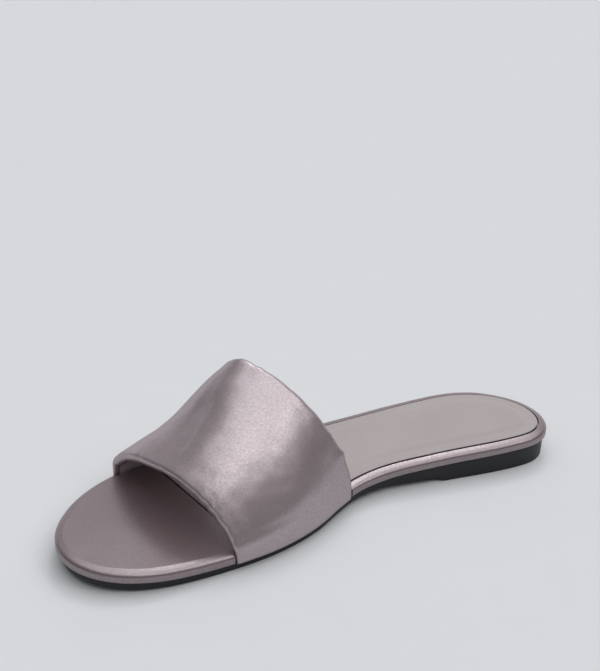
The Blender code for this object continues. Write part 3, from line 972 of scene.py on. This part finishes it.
def grained_material(name, group, values, bump_strength, bump_distance, shader_values):
    """Material whose colour, roughness and bump come from a grain group."""
    material = bpy.data.materials.new(name)
    material.use_nodes = True
    tree = material.node_tree
    shader = tree.nodes["Principled BSDF"]
    for socket, value in shader_values.items():
        shader.inputs[socket].default_value = value
    grain = tree.nodes.new("ShaderNodeGroup")
    grain.node_tree = group
    for socket, value in values.items():
        grain.inputs[socket].default_value = value
    bump = add_node(tree, "ShaderNodeBump", {"Strength": bump_strength, "Distance": bump_distance})
    tree.links.new(grain.outputs["Colour"], shader.inputs["Base Color"])
    tree.links.new(grain.outputs["Roughness"], shader.inputs["Roughness"])
    if "Sheen" in grain.outputs:
        tree.links.new(grain.outputs["Sheen"], shader.inputs["Specular IOR Level"])
    tree.links.new(grain.outputs["Height"], bump.inputs["Height"])
    tree.links.new(bump.outputs["Normal"], shader.inputs["Normal"])
    return material


def opaque(colour):
    """Colour with full alpha, as the sockets take it."""
    return tuple(colour) + (1.0,)


def satin(name, colour, tint, index, grain):
    """Lustrous satin with its own colour and values of the grain."""
    values = {"Colour": opaque(colour), **grain}
    shader = {"Metallic": 0.0, "IOR": index, "Specular Tint": opaque(tint)}
    group = satin_grain_group()
    return grained_material(name, group, values, SATIN_BUMP, SATIN_BUMP_DISTANCE, shader)


def band_satin(colours):
    """Satin of the padded band."""
    grain = {"Sparkle": 0.29, "Clouds": 0.05, "Gloss": 0.375, "Sheen": 0.8}
    return satin("band_satin", colours.satin, colours.sheen, 2.90, grain)


def footbed_satin(colours):
    """Satin drawn over the footbed."""
    grain = {"Sparkle": 0.30, "Clouds": 0.12, "Gloss": 0.34, "Sheen": 0.7}
    return satin("footbed_satin", colours.wrap, colours.sheen, 2.35, grain)


def leather(name, colour, tone_change, gloss, specular, bump):
    """Plain material with the fine grain of leather."""
    values = {"Colour": opaque(colour), "Tone Change": tone_change, "Gloss": gloss}
    shader = {"Metallic": 0.0, "Specular IOR Level": specular}
    group = leather_grain_group()
    return grained_material(name, group, values, bump, PLAIN_BUMP_DISTANCE, shader)


def sock_leather(colours):
    """Taupe leather of the sock."""
    look = {"tone_change": 0.16, "gloss": 0.52, "specular": 0.40, "bump": 0.20}
    return leather("sock_leather", colours.sock, **look)


def sock_edge_and_gap_shade(colours):
    """Cut edge of the sock, painted dark, with painted shade of the narrow gap between the sock and
    the rim.
    """
    look = {"tone_change": 0.30, "gloss": 0.75, "specular": 0.20, "bump": 0.30}
    return leather("sock_edge_and_gap_shade", colours.cut_edge_and_gap_shade, **look)


def lining_leather(colours):
    """Pale leather inside the band."""
    look = {"tone_change": 0.14, "gloss": 0.55, "specular": 0.40, "bump": 0.20}
    return leather("lining_leather", colours.lining, **look)


def outsole_rubber(colours):
    """Moulded black of the outsole."""
    look = {"tone_change": 0.35, "gloss": 0.50, "specular": 0.38, "bump": 0.12}
    return leather("outsole_rubber", colours.outsole, **look)


def floor_paper(colours):
    """Smooth pale paper under the sandal."""
    look = {"tone_change": 0.03, "gloss": 0.85, "specular": 0.20, "bump": 0.02}
    return leather("floor_paper", colours.floor, **look)


def direction_at(azimuth, elevation):
    """Direction from the sandal towards a bearing and a height over the horizon."""
    return Vector((
        math.sin(azimuth) * math.cos(elevation),
        -math.cos(azimuth) * math.cos(elevation),
        math.sin(elevation),
    ))


def add_soft_light(name, place, strength, colour):
    """Large even soft light from far away, which lights the whole floor alike."""
    azimuth, elevation, spread = (math.radians(v) for v in place)
    light = bpy.data.lights.new(name, "SUN")
    light.angle = spread
    light.energy = strength
    light.color = colour
    lamp = bpy.data.objects.new(name, light)
    back = direction_at(azimuth, elevation)
    lamp.location = back
    lamp.rotation_mode = "QUATERNION"
    lamp.rotation_quaternion = back.to_track_quat("Z", "Y")
    bpy.context.scene.collection.objects.link(lamp)


def eased_range(tree, value, low, high, start, end):
    """Map range node that eases from start at low to end at high; its result."""
    limits = {"From Min": low, "From Max": high, "To Min": start, "To Max": end}
    node = add_node(tree, "ShaderNodeMapRange", limits, interpolation_type="SMOOTHSTEP")
    tree.links.new(value, node.inputs["Value"])
    return node.outputs["Result"]


def studio_world(stage, colours):
    """Even light from above that falls off to a dim room at the horizon, pale behind the sandal."""
    world = bpy.data.worlds.new("studio")
    world.use_nodes = True
    tree = world.node_tree
    background = tree.nodes["Background"]
    place = tree.nodes.new("ShaderNodeTexCoord").outputs["Generated"]
    split = tree.nodes.new("ShaderNodeSeparateXYZ")
    tree.links.new(place, split.inputs[0])
    height = split.outputs["Z"]
    room = (stage.horizon_from, stage.horizon_to, stage.horizon_strength, stage.ambient_strength)
    rise = eased_range(tree, height, *room)
    toward = add_node(tree, "ShaderNodeVectorMath", operation="DOT_PRODUCT")
    toward.inputs[1].default_value = direction_at(*(math.radians(v) for v in BACKDROP_GLOW))
    tree.links.new(place, toward.inputs[0])
    glow = eased_range(tree, toward.outputs["Value"], *GLOW_SPREAD, 0.0, stage.glow_strength)
    low = eased_range(tree, height, *GLOW_HEIGHTS, 1.0, GLOW_ABOVE)
    light = math_node(tree, "ADD", rise, math_node(tree, "MULTIPLY", glow, low))
    seen = tree.nodes.new("ShaderNodeLightPath").outputs["Is Camera Ray"]
    strength = add_node(tree, "ShaderNodeMix", {"B": stage.backdrop_strength}, data_type="FLOAT")
    tree.links.new(seen, strength.inputs["Factor"])
    tree.links.new(light, strength.inputs["A"])
    background.inputs["Color"].default_value = opaque(colours.ambient)
    tree.links.new(strength.outputs["Result"], background.inputs["Strength"])
    return world


def make_stage(stage, colours):
    """Pale floor, soft studio light and the camera at the photographed angle."""
    scene = bpy.context.scene
    edit = bmesh.new()
    segments = FLOOR_SEGMENTS
    bmesh.ops.create_grid(edit, x_segments=segments, y_segments=segments, size=stage.floor_size / 2)
    mesh = bpy.data.meshes.new("floor")
    edit.to_mesh(mesh)
    edit.free()
    mesh.materials.append(floor_paper(colours))
    floor = bpy.data.objects.new("floor", mesh)
    scene.collection.objects.link(floor)

    scene.world = studio_world(stage, colours)
    scene.view_settings.view_transform = "Standard"

    for place, strength in KEY_LIGHTS:
        add_soft_light("key_light", place, strength * stage.key_strength, KEY_COLOUR)
    add_soft_light("top_light", TOP_LIGHT, stage.top_strength, TOP_COLOUR)

    camera = bpy.data.cameras.new("camera")
    camera.lens = stage.view_lens
    camera.clip_start, camera.clip_end = CAMERA_CLIP
    viewer = bpy.data.objects.new("camera", camera)
    azimuth, elevation = stage.view_azimuth, stage.view_elevation
    right = Vector((math.cos(azimuth), math.sin(azimuth), 0.0))
    away = Vector((-math.sin(azimuth), math.cos(azimuth), 0.0))
    back = direction_at(azimuth, elevation)
    target = right * stage.view_right + away * stage.view_away
    target += Vector((centring_shift(), 0.0, stage.view_height))
    viewer.location = target + back * stage.view_distance
    viewer.rotation_mode = "QUATERNION"
    viewer.rotation_quaternion = back.to_track_quat("Z", "Y")
    scene.collection.objects.link(viewer)
    scene.camera = viewer


def length_prop(label, text, default):
    """Size in metres that a user may change."""
    return bpy.props.FloatProperty(
        name=label, description=text, default=default, precision=5, unit="LENGTH"
    )


def number_prop(label, text, default):
    """Plain number that a user may change."""
    return bpy.props.FloatProperty(name=label, description=text, default=default, min=0.0)


def angle_prop(label, text, degrees):
    """Angle that a user may change, given in degrees."""
    return bpy.props.FloatProperty(
        name=label, description=text, default=math.radians(degrees), subtype="ANGLE"
    )


def colour_prop(label, text, default):
    """Colour that a user may change."""
    return bpy.props.FloatVectorProperty(
        name=label, description=text, default=default, subtype="COLOR", size=3, min=0.0, max=1.0
    )


class SandalSizes(bpy.types.PropertyGroup):
    """Sizes of the soft and moulded detail."""

    puff: length_prop("Puff", "Swell of the padding between the band's edges", 0.0014)
    fold_depth: number_prop("Fold depth", "Strength of the band's soft folds", 1.0)
    pucker_depth: length_prop("Pucker depth", "How far a pucker draws in the band's edge", 0.0005)
    pucker_reach: length_prop("Pucker reach", "How far a pucker runs into the band", 0.0055)
    unevenness: length_prop("Unevenness", "Slight waviness of the satin over the foam", 0.00022)
    foot_round: length_prop("Foot round", "Rounding where the band turns in at the sole", 0.0016)
    lining_margin: length_prop("Lining margin", "Satin turned in at the band's edges", 0.0026)
    rim_slant: angle_prop("Rim slant", "Tilt of the rim's strip next to the sock", 12.0)
    rim_turn: angle_prop("Rim turn", "Tilt where the rim starts to turn down", 17.0)
    rim_waviness: length_prop("Rim waviness", "Slight puckering of the rim's satin", 0.00012)
    sock_thickness: length_prop("Sock thickness", "Thickness of the sock at its border", 0.0013)
    sock_seam: length_prop("Sock seam", "Extra width of the seam round the sock", 0.00055)
    sock_border: length_prop("Sock border", "Width of the thin leather border", 0.0050)
    sock_slope: length_prop("Sock slope", "Width of the slope up to the raised pad", 0.0042)
    sock_rise: length_prop("Sock rise", "Height of the raised pad over its border", 0.0011)
    sole_round: length_prop("Sole round", "Radius of the outsole's edges", 0.0006)
    tread_depth: length_prop("Tread depth", "Depth of the tread's ribs", 0.0004)
    tread_pitch: length_prop("Tread pitch", "Distance between the tread's ribs", 0.0050)
    tread_margin: length_prop("Tread margin", "Plain border of the outsole's underside", 0.0045)


class SandalColours(bpy.types.PropertyGroup):
    """Colours of the materials and of the light."""

    satin: colour_prop("Band satin", "Mauve taupe satin of the band", (0.122, 0.086, 0.094))
    wrap: colour_prop("Footbed satin", "Satin drawn over the footbed", (0.105, 0.071, 0.077))
    sheen: colour_prop("Satin sheen", "Tint of the satin's sheen", (1.0, 0.895, 0.93))
    sock: colour_prop("Sock leather", "Taupe leather of the sock", (0.400, 0.355, 0.355))
    # Painted shade: this dark sock edge colour also stands in for the shade in the gap between the
    # sock and the rim.
    cut_edge_and_gap_shade: colour_prop("Sock edge", "Dark cut edge of the sock", (0.045, 0.036, 0.036))
    lining: colour_prop("Lining leather", "Pale leather inside the band", (0.62, 0.56, 0.565))
    outsole: colour_prop("Outsole", "Moulded black of the outsole", (0.013, 0.0135, 0.0155))
    floor: colour_prop("Floor", "Pale paper under the sandal", (0.690, 0.704, 0.719))
    ambient: colour_prop("Ambient", "Soft light from all round", (0.95, 0.965, 1.0))


class SandalStage(bpy.types.PropertyGroup):
    """Camera and lights."""

    view_azimuth: angle_prop("View azimuth", "Camera's bearing round the sandal", 64.4)
    view_elevation: angle_prop("View elevation", "Camera's height over the horizon", 25.3)
    view_distance: length_prop("View distance", "From the camera to the aimed point", 0.609)
    view_right: length_prop("View right", "Aimed point to the camera's right", -0.0066)
    view_away: length_prop("View away", "Aimed point away from the camera", 0.1494)
    view_height: length_prop("View height", "Aimed point over the floor", 0.010)
    view_lens: bpy.props.FloatProperty(
        name="Lens", description="Focal length", default=53.33, unit="CAMERA"
    )
    floor_size: length_prop("Floor size", "Side of the floor", 12.0)
    ambient_strength: number_prop("Ambient strength", "Strength of the light from all round", 0.34)
    horizon_strength: number_prop("Horizon strength", "Strength of the dim horizon", 0.06)
    horizon_from: number_prop("Horizon from", "Height, as a sine, where the room brightens", 0.26)
    horizon_to: number_prop("Horizon to", "Height, as a sine, where the light is full", 0.60)
    backdrop_strength: number_prop("Backdrop strength", "Brightness of the seen backdrop", 0.70)
    glow_strength: number_prop("Glow strength", "Light of the pale backdrop on the sandal", 1.00)
    key_strength: number_prop("Key strength", "Strength of the soft lights together", 1.0)
    top_strength: number_prop("Top strength", "Strength of the wide light from above", 1.36)


def build_piece(context, make, node):
    """Make one piece for its node of the frame."""
    piece = make(context.scene.sandal_sizes, context.scene.sandal_colours)
    dress(piece, node)
    return {"FINISHED"}


class SANDAL_OT_outsole(bpy.types.Operator):
    """Build the moulded outsole"""

    bl_idname = "sandal.outsole"
    bl_label = "Outsole"

    def execute(self, context):
        return build_piece(context, make_outsole, "outsole")


class SANDAL_OT_footbed(bpy.types.Operator):
    """Build the satin wrapped footbed"""

    bl_idname = "sandal.footbed"
    bl_label = "Footbed"

    def execute(self, context):
        return build_piece(context, make_footbed, "footbed")


class SANDAL_OT_sock(bpy.types.Operator):
    """Build the leather sock"""

    bl_idname = "sandal.sock"
    bl_label = "Sock"

    def execute(self, context):
        return build_piece(context, make_sock, "sock")


class SANDAL_OT_band(bpy.types.Operator):
    """Build the padded satin band"""

    bl_idname = "sandal.band"
    bl_label = "Band"

    def execute(self, context):
        return build_piece(context, make_band, "band")


class SANDAL_OT_stage(bpy.types.Operator):
    """Build the floor, the lights and the camera"""

    bl_idname = "sandal.stage"
    bl_label = "Stage"

    def execute(self, context):
        make_stage(context.scene.sandal_stage, context.scene.sandal_colours)
        return {"FINISHED"}


class SANDAL_PT_panel(bpy.types.Panel):
    """Lists the sandal's pieces, sizes and colours"""

    bl_label = "Slide sandal"
    bl_idname = "SANDAL_PT_panel"
    bl_space_type = "VIEW_3D"
    bl_region_type = "UI"
    bl_category = "Slide sandal"

    def draw(self, context):
        layout = self.layout
        for operator in OPERATORS:
            layout.operator(operator.bl_idname)
        scene = context.scene
        for group in (scene.sandal_sizes, scene.sandal_colours, scene.sandal_stage):
            box = layout.box()
            for name in group.__annotations__:
                box.prop(group, name)


OPERATORS = (SANDAL_OT_outsole, SANDAL_OT_footbed, SANDAL_OT_sock, SANDAL_OT_band, SANDAL_OT_stage)
CLASSES = (SandalSizes, SandalColours, SandalStage) + OPERATORS + (SANDAL_PT_panel,)


def register():
    """Register the classes and the scene's settings."""
    for cls in CLASSES:
        bpy.utils.register_class(cls)
    bpy.types.Scene.sandal_sizes = bpy.props.PointerProperty(type=SandalSizes)
    bpy.types.Scene.sandal_colours = bpy.props.PointerProperty(type=SandalColours)
    bpy.types.Scene.sandal_stage = bpy.props.PointerProperty(type=SandalStage)


def unregister():
    """Remove the scene's settings and the classes."""
    del bpy.types.Scene.sandal_stage
    del bpy.types.Scene.sandal_colours
    del bpy.types.Scene.sandal_sizes
    for cls in reversed(CLASSES):
        bpy.utils.unregister_class(cls)


def main():
    """Build the sandal and its stage."""
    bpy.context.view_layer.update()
    register()
    bpy.ops.sandal.outsole()
    bpy.ops.sandal.footbed()
    bpy.ops.sandal.sock()
    bpy.ops.sandal.band()
    bpy.ops.sandal.stage()


if __name__ == "__main__":
    main()
